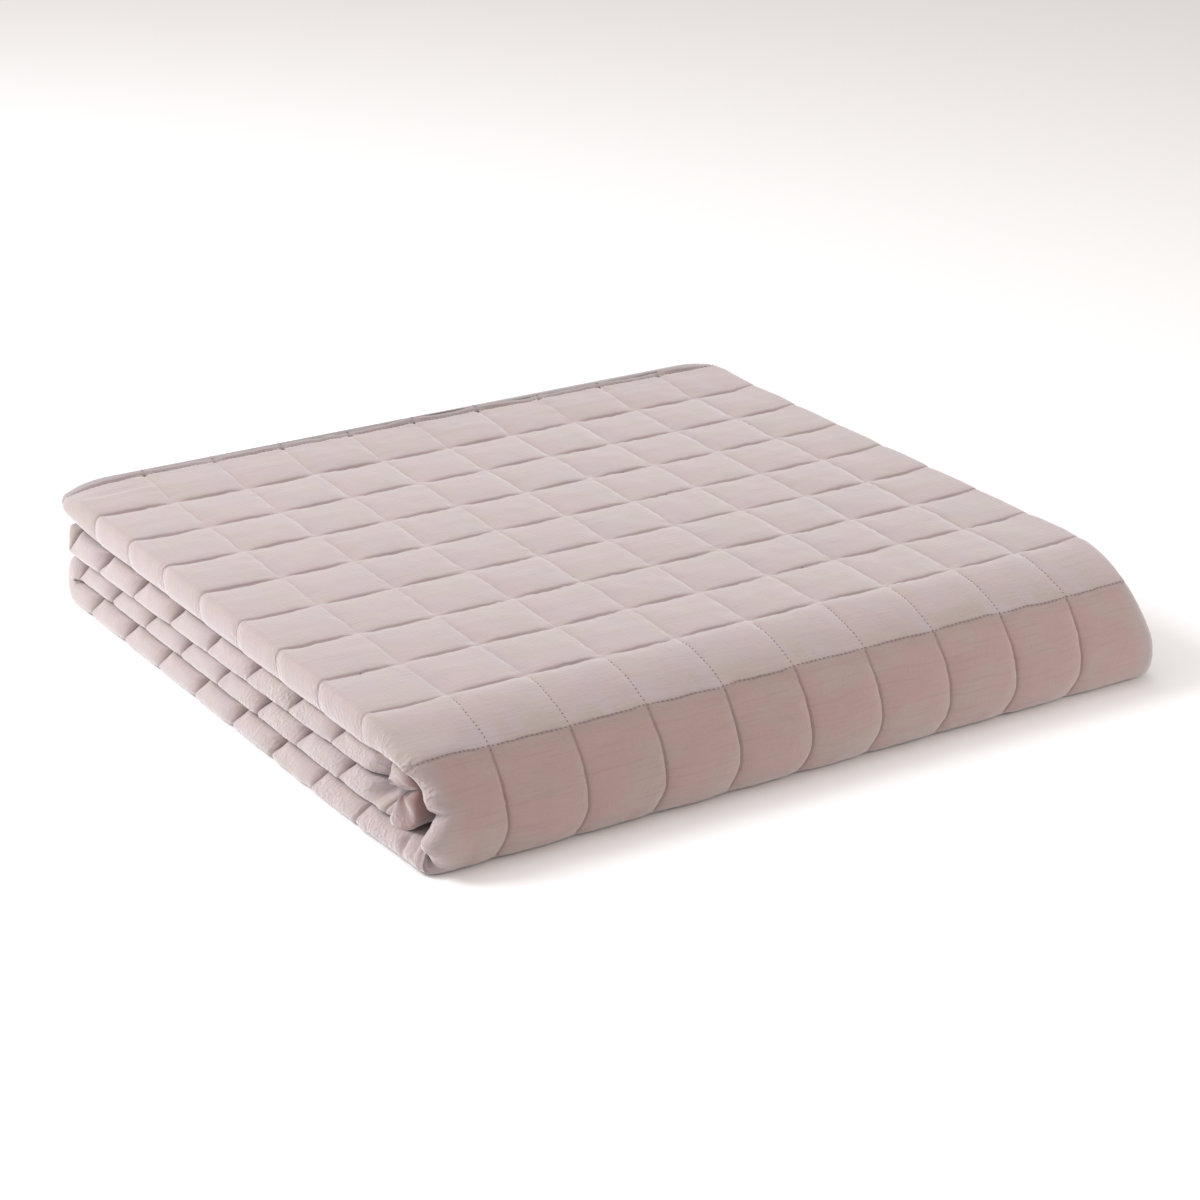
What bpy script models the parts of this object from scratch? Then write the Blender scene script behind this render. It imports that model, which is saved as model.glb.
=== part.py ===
"""A quilted, weighted blanket folded into a flat stack of four layers.

The blanket is one hemmed sheet. Seen from the side it runs forward along the top, rolls over the
front edge, comes back along the bottom, turns up at the rear, runs forward again as the third
layer, turns back inside the front roll and ends as the second layer, under its first hem.

Sizes are in millimetres. X runs along the front fold, -Y is the front and +Z is up. The section
is drawn in Y and Z with Y = 0 near the rear hems, and the finished sheet is then centred.
"""

import math
from bisect import bisect
from typing import NamedTuple

import bmesh
import bpy
from mathutils import Vector

NAME = "quilted_blanket"
COLLECTION = "folded_weighted_blanket"
TO_METRES = 0.001

SQUARE = 50.0  # pitch of the quilting, both ways
COLUMNS = 10  # squares across the sheet
WIDTH = COLUMNS * SQUARE
LAYER = 17.6  # a pressed layer
AIR = 1.0  # between one layer and the next
CROWN = 2.5  # how far a square stands above its stitch lines
FULLNESS = 0.55  # power of the sine across a square: lower is fuller
PRESS = 2.3  # how much more the squares spread where they lie on the surface
TOP = 4 * LAYER + 3 * AIR + CROWN

HEM_ROUND = 9.0  # the hem's rounding, from its outer edge inwards
HEM_FULLNESS = 2.8  # power of that rounding: 2 is elliptic and higher is fuller
HEM_DRAW = 3.0  # how far a stitch line draws the hem in
HEM_PINCH = 0.12  # share of the hem's thickness that a stitch line takes away
CORNER = 24.0  # plan radius of the sheet's corners

REAR_HEM_Y = 8.5  # outer edge of the first layer's rear hem
REAR_LIFT = 3.5  # how far that hem lies above the rest of the top
UNDER_HEM_Y = 3.0  # outer edge of the second layer's
REAR_FOLD_Y = -15.0  # where the rear fold starts to turn
INNER_FOLD_Y = -428.5  # where the inner fold starts to turn
BOTTOM_SEAM_Y = -395.0  # the front cross seam of the bottom layer
FOLD_REACH = math.pi * (LAYER + AIR / 2)  # round the outside of a flat fold

STEPS = (0.16, 0.5, 0.84)  # lines inside a square, as shares of its width
HEM_ANGLES = (0.0, 30.0, 60.0, 90.0)  # lines round a hem, from its outer edge inwards
FOLD_ANGLE = 30.0  # most degrees turned between two lines of a fold
NEAREST = 2.5  # closest that two lines across the sheet may lie

FABRIC = (0.66, 0.55, 0.55, 1.0)
FABRIC_ROUGHNESS = 0.9


class Section(NamedTuple):
    """One stretch of the folded sheet. Thick, groove, left and right are their values at its end."""

    name: str
    length: float  # round the outside
    crease: float  # sharp turn at its start, in degrees
    turn: float  # steady turn along it, in degrees, positive towards the inner face
    thick: float
    groove: float  # depth of the stitch lines
    left: float  # how far the left hem stands out of its place
    right: float  # the same for the right hem
    first_seam: float  # distance of its first cross seam
    seams: int  # cross seams, one square apart
    raised: bool  # its squares stand up from the outer skin
    pressed: bool  # it lies on the surface


class Start(NamedTuple):
    """Where a section starts."""

    distance: float
    place: Vector
    heading: float  # degrees in the Y-Z plane, counter-clockwise from +Y


class Line(NamedTuple):
    """One line across the sheet."""

    skin: Vector
    out: Vector
    along: Vector
    thick: float
    groove: float
    left: float
    right: float
    puff: float  # 0 on a cross seam, 1 in the middle of a square
    hem: float  # distance from the nearer end of the sheet
    inward: int  # which way along the sheet that end lies behind it
    raised: bool
    pressed: bool


class Column(NamedTuple):
    """One line along the sheet."""

    x: float
    puff: float
    hem: float  # distance from the nearer side of the sheet
    inward: int  # towards the middle: 1 near the left hem, -1 near the right, 0 between


def arc_drop(length, heading, turn):
    """How far an arc goes down. Its heading is in degrees below level."""
    first, last = math.radians(heading), math.radians(heading + turn)
    return length * (math.cos(first) - math.cos(last)) / (last - first)


def arc_end(place, heading, length, turn):
    """End point of a stretch that turns steadily."""
    half = math.radians(turn) / 2
    chord = length * math.sin(half) / half if turn else length
    direction = math.radians(heading) + half
    return place + Vector((0.0, math.cos(direction), math.sin(direction))) * chord


def front_roll():
    """The sections that take the sheet over the front edge, down to the surface."""
    shoulder, brow, cheek = 32.0, 26.0, 54.0  # turns
    shoulder_length, brow_length, cheek_length = 50.0, 35.0, 32.0
    ridge_crease = 13.0
    brow_heading = shoulder + ridge_crease
    cheek_heading = brow_heading + brow
    toe_heading = cheek_heading + cheek
    toe = 180.0 - toe_heading
    drop = TOP - arc_drop(shoulder_length, 0.0, shoulder)
    drop -= arc_drop(brow_length, brow_heading, brow) + arc_drop(cheek_length, cheek_heading, cheek)
    toe_length = drop / arc_drop(1.0, toe_heading, toe)
    rows = (
        ("shoulder", shoulder_length, 0.0, shoulder, 12.3, 1.0, 0.0, 1.0, shoulder_length, 1),
        ("brow", brow_length, ridge_crease, brow, 16.5, CROWN, -9.0, 9.0, 0.0, 0),
        ("cheek", cheek_length, 0.0, cheek, LAYER, CROWN, -9.0, 14.0, 0.0, 0),
        ("toe", toe_length, 0.0, toe, LAYER, CROWN, -1.0, 14.0, toe_length, 1),
    )
    return [Section(*row, True, False) for row in rows]


def skin_length(section):
    """Length along the outer skin, which is on the inside of a fold that turns away from it."""
    return section.length + min(0.0, math.radians(section.turn)) * LAYER


def section_starts(sections):
    """Where each section starts, and where the last one ends."""
    starts = [Start(0.0, Vector((0.0, REAR_HEM_Y, TOP + REAR_LIFT)), 180.0)]
    for section in sections:
        distance, place, heading = starts[-1]
        heading += section.crease
        starts[-1] = Start(distance, place, heading)
        place = arc_end(place, heading, skin_length(section), section.turn)
        starts.append(Start(distance + section.length, place, heading + section.turn))
    return starts


def folded_sections():
    """The whole sheet, from the first layer's rear hem to the second layer's."""
    full = LAYER + CROWN
    rear = SQUARE + REAR_HEM_Y
    slope = math.degrees(math.asin(REAR_LIFT / rear))
    rows = [
        Section("rear hem", 0.0, 0.0, 0.0, full, CROWN, 9.5, 4.5, 0.0, 0, True, False),
        Section("rear squares", rear, slope, 0.0, full, CROWN, 6.3, 4.5, rear, 1, True, False),
        Section("top", 7 * SQUARE, -slope, 0.0, full, CROWN, 3.5, 4.0, SQUARE, 7, True, False),
        *front_roll(),
    ]
    toe_y = section_starts(rows)[-1].place.y
    rest = (
        ("front pads", BOTTOM_SEAM_Y - toe_y, 0.0, CROWN, 1.0, 13.0, BOTTOM_SEAM_Y - toe_y, 1, True, True),
        ("bottom", REAR_FOLD_Y - BOTTOM_SEAM_Y, 0.0, CROWN, 6.5, 5.0, SQUARE, 7, True, True),
        ("rear fold", FOLD_REACH, 180.0, 0.0, 6.5, 3.0, 0.0, 0, True, False),
        ("third", REAR_FOLD_Y - INNER_FOLD_Y, 0.0, 0.0, -1.0, 3.0, 10.0, 9, False, False),
        ("inner fold", FOLD_REACH, -180.0, 0.0, -1.5, 3.0, 34.0, 1, False, False),
        ("second", UNDER_HEM_Y - INNER_FOLD_Y, 0.0, 0.0, 10.5, 3.0, 10.5, 9, False, False),
    )
    for name, length, turn, *others in rest:
        groove, left, right, first_seam, seams, raised, pressed = others
        place = (LAYER, groove, left, right, first_seam, seams)
        rows.append(Section(name, length, 0.0, turn, *place, raised, pressed))
    return rows


def seam_places(sections, starts):
    """Distances of all cross seams along the sheet."""
    return [
        start.distance + section.first_seam + SQUARE * count
        for section, start in zip(sections, starts)
        for count in range(section.seams)
    ]


def puff(place, seams):
    """How full a square is at a place: 0 on its stitch lines and 1 in its middle."""
    after = bisect(seams, place)
    if 0 < after < len(seams):
        share = (place - seams[after - 1]) / (seams[after] - seams[after - 1])
    else:
        share = min(0.5, abs(place - seams[min(after, len(seams) - 1)]) / SQUARE)
    return max(0.0, math.sin(math.pi * share)) ** FULLNESS


def hem_offsets():
    """Distances of the lines round a hem from its outer edge."""
    return [HEM_ROUND * (1.0 - math.cos(math.radians(angle))) for angle in HEM_ANGLES]


def square_steps(seams, end):
    """Lines inside the squares, those of the part squares at both ends too."""
    edges = [seams[0] - SQUARE, *seams, seams[-1] + SQUARE]
    steps = [
        low + (high - low) * share for low, high in zip(edges, edges[1:]) for share in STEPS
    ]
    return [step for step in steps if HEM_ROUND < step < end - HEM_ROUND]


def fold_steps(sections, starts):
    """Lines at the ends of each curved section and inside it."""
    steps = []
    for section, start in zip(sections, starts):
        if section.turn:
            parts = math.ceil(abs(section.turn) / FOLD_ANGLE)
            steps += [start.distance + section.length * part / parts for part in range(parts + 1)]
    return steps


def line_places(sections, starts, seams):
    """Distances of all lines across the sheet, seams and folds before the lines inside squares."""
    end = starts[-1].distance
    places = []
    wanted = [*hem_offsets(), *(end - offset for offset in hem_offsets()), *seams]
    wanted += fold_steps(sections, starts) + square_steps(seams, end)
    for place in wanted:
        hem_line = min(place, end - place) <= HEM_ROUND
        if all(abs(place - other) >= NEAREST for other in places) or (hem_line and place not in places):
            places.append(place)
    return sorted(places)


def line_at(place, sections, starts, seams):
    """The line across the sheet at a distance along it."""
    end = starts[-1].distance
    index = 1
    while index < len(sections) - 1 and place > starts[index + 1].distance + 1e-9:
        index += 1
    section, before, start = sections[index], sections[index - 1], starts[index]
    share = (place - start.distance) / section.length
    turned = section.turn * share
    skin = arc_end(start.place, start.heading, skin_length(section) * share, turned)
    heading = math.radians(start.heading + turned)
    if share == 1.0 and index < len(sections) - 1:
        heading += math.radians(sections[index + 1].crease) / 2
    along = Vector((0.0, math.cos(heading), math.sin(heading)))
    out = Vector((0.0, math.sin(heading), -math.cos(heading)))
    mixed = [
        getattr(before, field) * (1.0 - share) + getattr(section, field) * share
        for field in ("thick", "groove", "left", "right")
    ]
    hem, inward = min((place, 1), (end - place, -1))
    return Line(skin, out, along, *mixed, puff(place, seams), hem, inward, section.raised, section.pressed)


def cross_lines():
    """All lines across the sheet, in order along its folded length."""
    sections = folded_sections()
    starts = section_starts(sections)
    seams = seam_places(sections, starts)
    return [line_at(place, sections, starts, seams) for place in line_places(sections, starts, seams)]


def columns():
    """All lines along the sheet, from its left hem to its right one."""
    seams = [SQUARE * count for count in range(1, COLUMNS)]
    inner = seams + square_steps(seams, WIDTH)
    offsets = hem_offsets()
    left = [Column(offset, 1.0, offset, 1) for offset in offsets]
    right = [Column(WIDTH - offset, 1.0, offset, -1) for offset in reversed(offsets)]
    middle = [
        Column(x, puff(x, seams), min(x, WIDTH - x), 0)
        for x in sorted(inner)
        if HEM_ROUND + NEAREST < x < WIDTH - HEM_ROUND - NEAREST
    ]
    return [*left, *middle, *right]


def rounded_corner(side, end):
    """Distances from both edges, moved so that the sheet's square corner becomes round."""
    if max(side, end) >= CORNER:
        return side, end
    a, b = 1.0 - side / CORNER, 1.0 - end / CORNER
    return (
        CORNER * (1.0 - a * math.sqrt(1.0 - b * b / 2)),
        CORNER * (1.0 - b * math.sqrt(1.0 - a * a / 2)),
    )


def sheet_point(column, line, outer):
    """A point on the outer or the inner skin of the folded sheet."""
    full = column.puff * line.puff
    side, end = rounded_corner(column.hem, line.hem)
    side += HEM_DRAW * (1.0 - line.puff) * max(0.0, 1.0 - column.hem / HEM_ROUND)
    end += HEM_DRAW * (1.0 - column.puff) * max(0.0, 1.0 - line.hem / HEM_ROUND)
    x = column.x + (column.inward or (1 if column.x < WIDTH / 2 else -1)) * (side - column.hem)
    if column.inward:
        x += line.right if column.inward < 0 else -line.left
    skin = line.skin + line.along * line.inward * (end - line.hem) + Vector((x, 0.0, 0.0))
    depth = min(column.hem, line.hem)
    if depth < HEM_ROUND:
        rise = (1.0 - (1.0 - depth / HEM_ROUND) ** HEM_FULLNESS) ** (1.0 / HEM_FULLNESS)
        rise *= 1.0 - HEM_PINCH * (1.0 - full)
        return skin - line.out * line.thick / 2 * (1.0 - rise if outer else 1.0 + rise)
    if not outer:
        return skin - line.out * line.thick
    if line.pressed:
        full = min(1.0, PRESS * full)
    return skin - line.out * (line.groove * (1.0 - full) if line.raised else 0.0)


def skin_mesh(lines, lengthwise, outer):
    """One skin of the sheet as a grid laid on the fold, with no more faces than its shape needs."""
    mesh = bmesh.new()
    last_line, last_column = len(lines) - 1, len(lengthwise) - 1
    bmesh.ops.create_grid(mesh, x_segments=last_column, y_segments=last_line, size=0.5)
    place = {}
    for vertex in mesh.verts:
        column = round((vertex.co.x + 0.5) * last_column)
        line = round((vertex.co.y + 0.5) * last_line)
        place[vertex] = (column, line)
        vertex.co = sheet_point(lengthwise[column], lines[line], outer)
    plain = [(not outer or not line.raised) and line.hem >= HEM_ROUND - 1e-9 for line in lines]
    spare = []
    for edge in mesh.edges:
        (column, line), (other_column, other_line) = (place[vertex] for vertex in edge.verts)
        inside = lengthwise[column].hem > HEM_ROUND + 1e-9
        if column == other_column and inside and plain[line] and plain[other_line]:
            spare.append(edge)
    bmesh.ops.dissolve_edges(mesh, edges=spare, use_verts=True)
    return mesh


def merge_pads(mesh):
    """Makes each flat pad under the bottom layer one face, and each of its slopes another."""
    low = {vertex for vertex in mesh.verts if vertex.co.z < CROWN + 0.01}
    pads = [edge for edge in mesh.edges if low.issuperset(edge.verts)]
    bmesh.ops.dissolve_limit(mesh, angle_limit=math.radians(0.2), verts=list(low), edges=pads)


def blanket_mesh():
    """The closed sheet: two skins sewn together along the hem."""
    lines, lengthwise = cross_lines(), columns()
    both = bmesh.new()
    for outer in (True, False):
        skin = skin_mesh(lines, lengthwise, outer)
        if outer:
            merge_pads(skin)
        else:
            bmesh.ops.reverse_faces(skin, faces=skin.faces[:])
        half = bpy.data.meshes.new("skin")
        skin.to_mesh(half)
        skin.free()
        both.from_mesh(half)
        bpy.data.meshes.remove(half)
    bmesh.ops.remove_doubles(both, verts=both.verts[:], dist=0.001)
    bmesh.ops.recalc_face_normals(both, faces=both.faces[:])
    return both


def centred(mesh):
    """Moves the middle of the mesh's footprint to the origin, in metres."""
    for axis in (0, 1):
        reach = [vertex.co[axis] for vertex in mesh.verts]
        middle = (min(reach) + max(reach)) / 2
        for vertex in mesh.verts:
            vertex.co[axis] -= middle
    bmesh.ops.scale(mesh, vec=(TO_METRES,) * 3, verts=mesh.verts[:])


def cotton():
    """Dusty pink cotton cover."""
    material = bpy.data.materials.new("cotton_cover")
    material.use_nodes = True
    shader = material.node_tree.nodes["Principled BSDF"]
    shader.inputs["Base Color"].default_value = FABRIC
    shader.inputs["Roughness"].default_value = FABRIC_ROUGHNESS
    return material


def main():
    for leftover in list(bpy.data.objects):
        bpy.data.objects.remove(leftover)
    mesh = blanket_mesh()
    centred(mesh)
    data = bpy.data.meshes.new(NAME)
    mesh.to_mesh(data)
    mesh.free()
    data.materials.append(cotton())
    data.shade_smooth()
    collection = bpy.data.collections.new(COLLECTION)
    bpy.context.scene.collection.children.link(collection)
    collection.objects.link(bpy.data.objects.new(NAME, data))


main()
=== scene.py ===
"""A quilted, weighted blanket, folded into a flat stack of four layers.

The cover is one sheet of woven cotton, quilted into squares and hemmed all round. It is laid along
the folded path of the solid frame, on a finer grid that has room for the sewn valleys, the drawn-in
hems, the rolled rear edge, the puckers and the listed creases. The stitches lie on it.

Sizes are in millimetres. Along the cloth, u runs across the sheet from its left hem and s along it
from the first layer's rear hem. In space X runs along the front fold, -Y is the front and +Z is up,
and finished meshes are in metres.
"""

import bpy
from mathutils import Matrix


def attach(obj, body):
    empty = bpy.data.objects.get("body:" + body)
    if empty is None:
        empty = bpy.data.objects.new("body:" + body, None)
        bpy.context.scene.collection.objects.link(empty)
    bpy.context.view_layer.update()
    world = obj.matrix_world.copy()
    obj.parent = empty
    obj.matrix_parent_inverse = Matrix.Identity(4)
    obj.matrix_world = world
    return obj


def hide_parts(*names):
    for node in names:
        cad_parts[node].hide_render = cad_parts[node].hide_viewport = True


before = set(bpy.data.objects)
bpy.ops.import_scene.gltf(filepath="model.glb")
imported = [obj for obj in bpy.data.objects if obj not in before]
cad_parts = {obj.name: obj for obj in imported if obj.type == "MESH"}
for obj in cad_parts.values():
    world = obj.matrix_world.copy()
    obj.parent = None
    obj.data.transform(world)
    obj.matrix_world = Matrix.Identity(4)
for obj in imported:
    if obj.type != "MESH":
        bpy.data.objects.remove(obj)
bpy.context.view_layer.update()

import logging
import math
from dataclasses import dataclass, field
from enum import Enum
from typing import Any

import bmesh
import bpy
import numpy as np
from mathutils import Matrix

LOG = logging.getLogger("folded_blanket")
TO_METRES = 0.001
MAP_UNIT = 2000.0  # millimetres of cloth to one unit of the sheet's map

Array = np.ndarray


class Skin(Enum):
    """The two faces of the quilted sheet."""

    OUTER = 1
    INNER = -1


class Showing(Enum):
    """How much of a stretch of the sheet can be seen."""

    TOP = "top"
    UNDERSIDE = "underside"
    HEMS = "hems only"


def linear(code: str) -> tuple[float, float, float, float]:
    """Turns an sRGB hex colour to the linear colour of a shader.

    Args:
        code: six hex digits, with or without a leading hash.

    Returns:
        Red, green, blue and an alpha of 1.
    """
    parts = [int(code.lstrip("#")[place : place + 2], 16) / 255 for place in (0, 2, 4)]
    red, green, blue = (
        part / 12.92 if part <= 0.04045 else ((part + 0.055) / 1.055) ** 2.4 for part in parts
    )
    return red, green, blue, 1.0


def add_node(
    tree: bpy.types.NodeTree,
    kind: str,
    settings: dict[str, Any] | None = None,
    inputs: dict[str | int, Any] | None = None,
) -> bpy.types.Node:
    """Adds a node with its settings and links.

    Args:
        tree: the node tree of the material.
        kind: the node's type name.
        settings: properties of the node.
        inputs: what goes to its sockets: another node's socket, or a value.

    Returns:
        The new node.
    """
    node = tree.nodes.new(kind)
    for name, value in (settings or {}).items():
        setattr(node, name, value)
    for name, value in (inputs or {}).items():
        socket = node.inputs[name]
        if isinstance(value, bpy.types.NodeSocket):
            tree.links.new(value, socket)
        else:
            socket.default_value = value
    return node


def to_data(mesh: bmesh.types.BMesh, name: str) -> bpy.types.Mesh:
    """Turns a bmesh to mesh data of the given name, and frees it."""
    data = bpy.data.meshes.new(name)
    mesh.to_mesh(data)
    mesh.free()
    return data


def add_object(name: str, data: bpy.types.ID) -> bpy.types.Object:
    """Puts data into the scene as an object of the given name."""
    item = bpy.data.objects.new(name, data)
    bpy.context.scene.collection.objects.link(item)
    return item


def smooth_step(low: float, high: float, value: Array) -> Array:
    """A smooth rise from 0 at low to 1 at high."""
    share = np.clip((value - low) / (high - low), 0.0, 1.0)
    return share * share * (3.0 - 2.0 * share)


def bell(off: Array, width: float | Array, power: float = 2) -> Array:
    """A smooth fall from 1 where off is 0, to 1/e where it is the width."""
    return np.exp(-((off / width) ** power))


def noise(x: Array, y: Array, seed: int) -> Array:
    """Smooth value noise from -1 to 1 with features one unit wide.

    Args:
        x: first coordinates.
        y: second coordinates.
        seed: picks one of many patterns.

    Returns:
        The noise at each place.
    """

    def corner(i: Array, j: Array) -> Array:
        """The fixed value at each corner of the unit squares."""
        mixed = (i * 374761393 + j * 668265263 + seed * 974634777) & 0x7FFFFFFF
        mixed = ((mixed ^ (mixed >> 13)) * 1274126177) & 0x7FFFFFFF
        return ((mixed ^ (mixed >> 16)) & 0xFFFF) / 32767.5 - 1.0

    i, j = np.floor(x).astype(np.int64), np.floor(y).astype(np.int64)
    across, along = x - i, y - j
    across = across * across * (3.0 - 2.0 * across)
    along = along * along * (3.0 - 2.0 * along)
    near = corner(i, j) * (1.0 - across) + corner(i + 1, j) * across
    far = corner(i, j + 1) * (1.0 - across) + corner(i + 1, j + 1) * across
    return near * (1.0 - along) + far * along


# ---- Finishes ----


class Shading:
    """The nodes of a new material, with short ways to add what its finish needs."""

    def __init__(self, name: str, **values: float) -> None:
        """Makes the material and sets the plain values of its shader, such as Sheen_Weight."""
        self.material = bpy.data.materials.new(name)
        self.material.use_nodes = True
        self.tree = self.material.node_tree
        self.shader = self.tree.nodes["Principled BSDF"]
        for socket, value in values.items():
            self.shader.inputs[socket.replace("_", " ")].default_value = value

    def join(self, socket: Any, name: str) -> None:
        """Leads a node's socket to the shader."""
        self.tree.links.new(socket, self.shader.inputs[name])

    def mark(self, name: str) -> Any:
        """How strong one of the piece's marks is."""
        return add_node(self.tree, "ShaderNodeAttribute", {"attribute_name": name}).outputs["Fac"]

    def maths(self, operation: str, *values: Any) -> Any:
        """Does a sum with sockets and values."""
        inputs = dict(enumerate(values))
        return add_node(self.tree, "ShaderNodeMath", {"operation": operation}, inputs).outputs[0]

    def mixed(self, share: Any, under: Any, over: str) -> Any:
        """Lays an sRGB colour over another colour by a share."""
        inputs = {0: share, 6: under, 7: linear(over)}
        return add_node(self.tree, "ShaderNodeMix", {"data_type": "RGBA"}, inputs).outputs[2]

    def band(self, value: Any, low: float, high: float, top: float) -> Any:
        """Maps a value from low..high to 0..top, clamped."""
        inputs = {"Value": value, "From Min": low, "From Max": high, "To Min": 0.0, "To Max": top}
        settings = {"interpolation_type": "SMOOTHSTEP"}
        return add_node(self.tree, "ShaderNodeMapRange", settings, inputs).outputs["Result"]

    def noise(self, cloth: Any, wide: float, long: float, detail: float) -> Any:
        """Noise from 0 to 1, in features of the given sizes across and along the cloth, in mm."""
        scale = (MAP_UNIT / wide, MAP_UNIT / long, 1.0)
        place = add_node(self.tree, "ShaderNodeMapping", {}, {"Vector": cloth, "Scale": scale})
        inputs = {"Scale": 1.0, "Detail": detail, "Roughness": 0.55}
        inputs["Vector"] = place.outputs["Vector"]
        settings = {"noise_dimensions": "2D"}
        return add_node(self.tree, "ShaderNodeTexNoise", settings, inputs).outputs["Fac"]

    def bump(self, height: Any, strength: float, depth: float, **under: Any) -> Any:
        """A relief of the given depth in metres, over another normal if one is given."""
        inputs = {"Height": height, "Strength": strength, "Distance": depth, **under}
        return add_node(self.tree, "ShaderNodeBump", {}, inputs).outputs["Normal"]


@dataclass(frozen=True)
class WovenCotton:
    """Soft plain-weave cotton, woven from yarns of two close dyes and washed.

    The yarns read as fine flecks and short uneven slubs along both threads, over broad areas that
    lean to beige and to lilac. The top of the stack and the hems are paler, partly as a cloth tone
    and partly as painted light, and the front roll keeps a deeper rose that is partly painted
    shade.
    Painted shade also darkens the seam valleys, the rolled rear edge, a band behind the front ridge
    and the fold inside the front roll. The surface is matt with a little fuzz at grazing angles.
    """

    name: str = "woven_cotton"
    # the front roll's deeper rose is partly painted shade, and the paler washed tone of the top and
    # hems partly painted light
    rose: str = "ab8e8a"
    washed: str = "a99898"
    beige: str = "a59a92"
    lilac: str = "a6989c"
    # colour of the painted shade on the rolled rear edge, which turns away from the light
    rear_roll_shade: str = "968b8c"
    slub: str = "9c8482"
    # colour of the painted shade in the seam valleys
    valley: str = "80696a"
    # colour of the painted shade in the fold inside the front roll
    inner_fold_shade: str = "6b4b49"
    # colour of the painted shade, in brownish patches, just behind the front ridge
    ridge_shade: str = "9c8d83"
    roughness: float = 0.92
    gloss: float = 0.25
    fuzz: float = 0.8
    fuzz_spread: float = 0.5
    yarn: float = 1.3  # real threads are 0.3 mm apart, drawn as coarse as the render can show
    slub_length: float = 14.0
    patch: float = 34.0
    gather: float = 2.6

    def make(self) -> bpy.types.Material:
        """Builds the material on the sheet's own UV map and marks."""
        fuzz = {"Sheen_Weight": self.fuzz, "Sheen_Roughness": self.fuzz_spread}
        nodes = Shading(self.name, Roughness=self.roughness, Specular_IOR_Level=self.gloss, **fuzz)
        cloth = add_node(nodes.tree, "ShaderNodeUVMap", {"uv_map": "cloth"}).outputs["UV"]
        nodes.join(self._colour(nodes, cloth), "Base Color")
        nodes.join(self._relief(nodes, cloth), "Normal")
        return nodes.material

    def _colour(self, nodes: Shading, cloth: Any) -> Any:
        """Rose to washed cloth, partly painted light and shade, its broad areas, slubs and flecks,
        and painted shade in the seam valleys, on the rolled rear edge, behind the ridge and in the
        inner fold.
        """
        faded_and_lit, patch, slub, yarn = nodes.mark("faded_and_lit"), self.patch, self.slub_length, self.yarn
        patched = nodes.maths("MULTIPLY_ADD", faded_and_lit, 0.25, 0.75)
        streaked = nodes.maths("MULTIPLY_ADD", faded_and_lit, -0.45, 1.0)
        # paler where the light falls and deeper rose in shade: partly cloth tone, partly painted
        # light and shade
        colour = nodes.mixed(faded_and_lit, linear(self.rose), self.washed)
        for wide, long, detail, band, where, over in (  # a noise, where it shows, and its colour
            (patch, patch, 3.0, (0.42, 0.66, 0.62), patched, self.beige),
            # painted shade in patches just behind the front ridge
            (40.0, 14.0, 2.0, None, nodes.mark("ridge_shade"), self.ridge_shade),
            (0.7 * patch, 1.3 * patch, 3.0, (0.5, 0.68, 0.8), faded_and_lit, self.lilac),
            (3.0 * slub, 1.6 * yarn, 2.0, (0.5, 0.8, 0.5), streaked, self.slub),
            (slub, yarn, 2.0, (0.5, 0.8, 0.28), streaked, self.slub),
            (yarn, slub, 2.0, (0.5, 0.8, 0.22), streaked, self.slub),
            (yarn, yarn, 1.0, (0.5, 0.8, 0.2), 1.0, self.beige),
        ):
            share = nodes.noise(cloth, wide, long, detail)
            share = nodes.band(share, *band) if band else share
            colour = nodes.mixed(nodes.maths("MULTIPLY", share, where), colour, over)
        # painted shade on the rolled rear edge
        colour = nodes.mixed(nodes.band(nodes.mark("turned"), 0.0, 1.0, 0.85), colour, self.rear_roll_shade)
        # painted shade in the seam valleys
        colour = nodes.mixed(nodes.band(nodes.mark("valley"), 0.2, 1.0, 0.5), colour, self.valley)
        # painted shade in the fold inside the front roll
        return nodes.mixed(nodes.mark("inner_fold_shade"), colour, self.inner_fold_shade)

    def _relief(self, nodes: Shading, cloth: Any) -> Any:
        """The relief of yarns and slubs, and of the finest gathers at the hems."""
        yarns = nodes.noise(cloth, self.slub_length, self.yarn, 1.0)
        crossing = nodes.noise(cloth, self.yarn, self.slub_length, 1.0)
        threads = nodes.bump(nodes.maths("ADD", yarns, crossing), 0.25, 0.0005)
        folds = nodes.band(nodes.noise(cloth, 1.6 * self.gather, self.gather, 0.0), 0.42, 0.8, 1.0)
        folds = nodes.maths("MULTIPLY", folds, nodes.mark("gathered"))
        return nodes.bump(folds, 0.5, 0.001, Normal=threads)


@dataclass(frozen=True)
class SpunThread:
    """Spun polyester sewing thread, a darker brown than the cover: matt, with its plies just
    showing.
    """

    name: str = "spun_thread"
    colour: str = "82716d"
    ply: str = "6c5d59"
    roughness: float = 0.7
    ply_pitch: float = 0.8  # real plies turn every 0.4 mm, drawn at twice that to show at all

    def make(self) -> bpy.types.Material:
        """Builds the material on object coordinates."""
        nodes = Shading(self.name, Roughness=self.roughness)
        place = add_node(nodes.tree, "ShaderNodeTexCoord").outputs["Object"]
        inputs = {"Vector": place, "Scale": 1.0 / (self.ply_pitch * TO_METRES), "Detail": 1.0}
        plies = add_node(nodes.tree, "ShaderNodeTexNoise", {}, inputs).outputs["Fac"]
        nodes.join(nodes.mixed(plies, linear(self.colour), self.ply), "Base Color")
        return nodes.material


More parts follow.
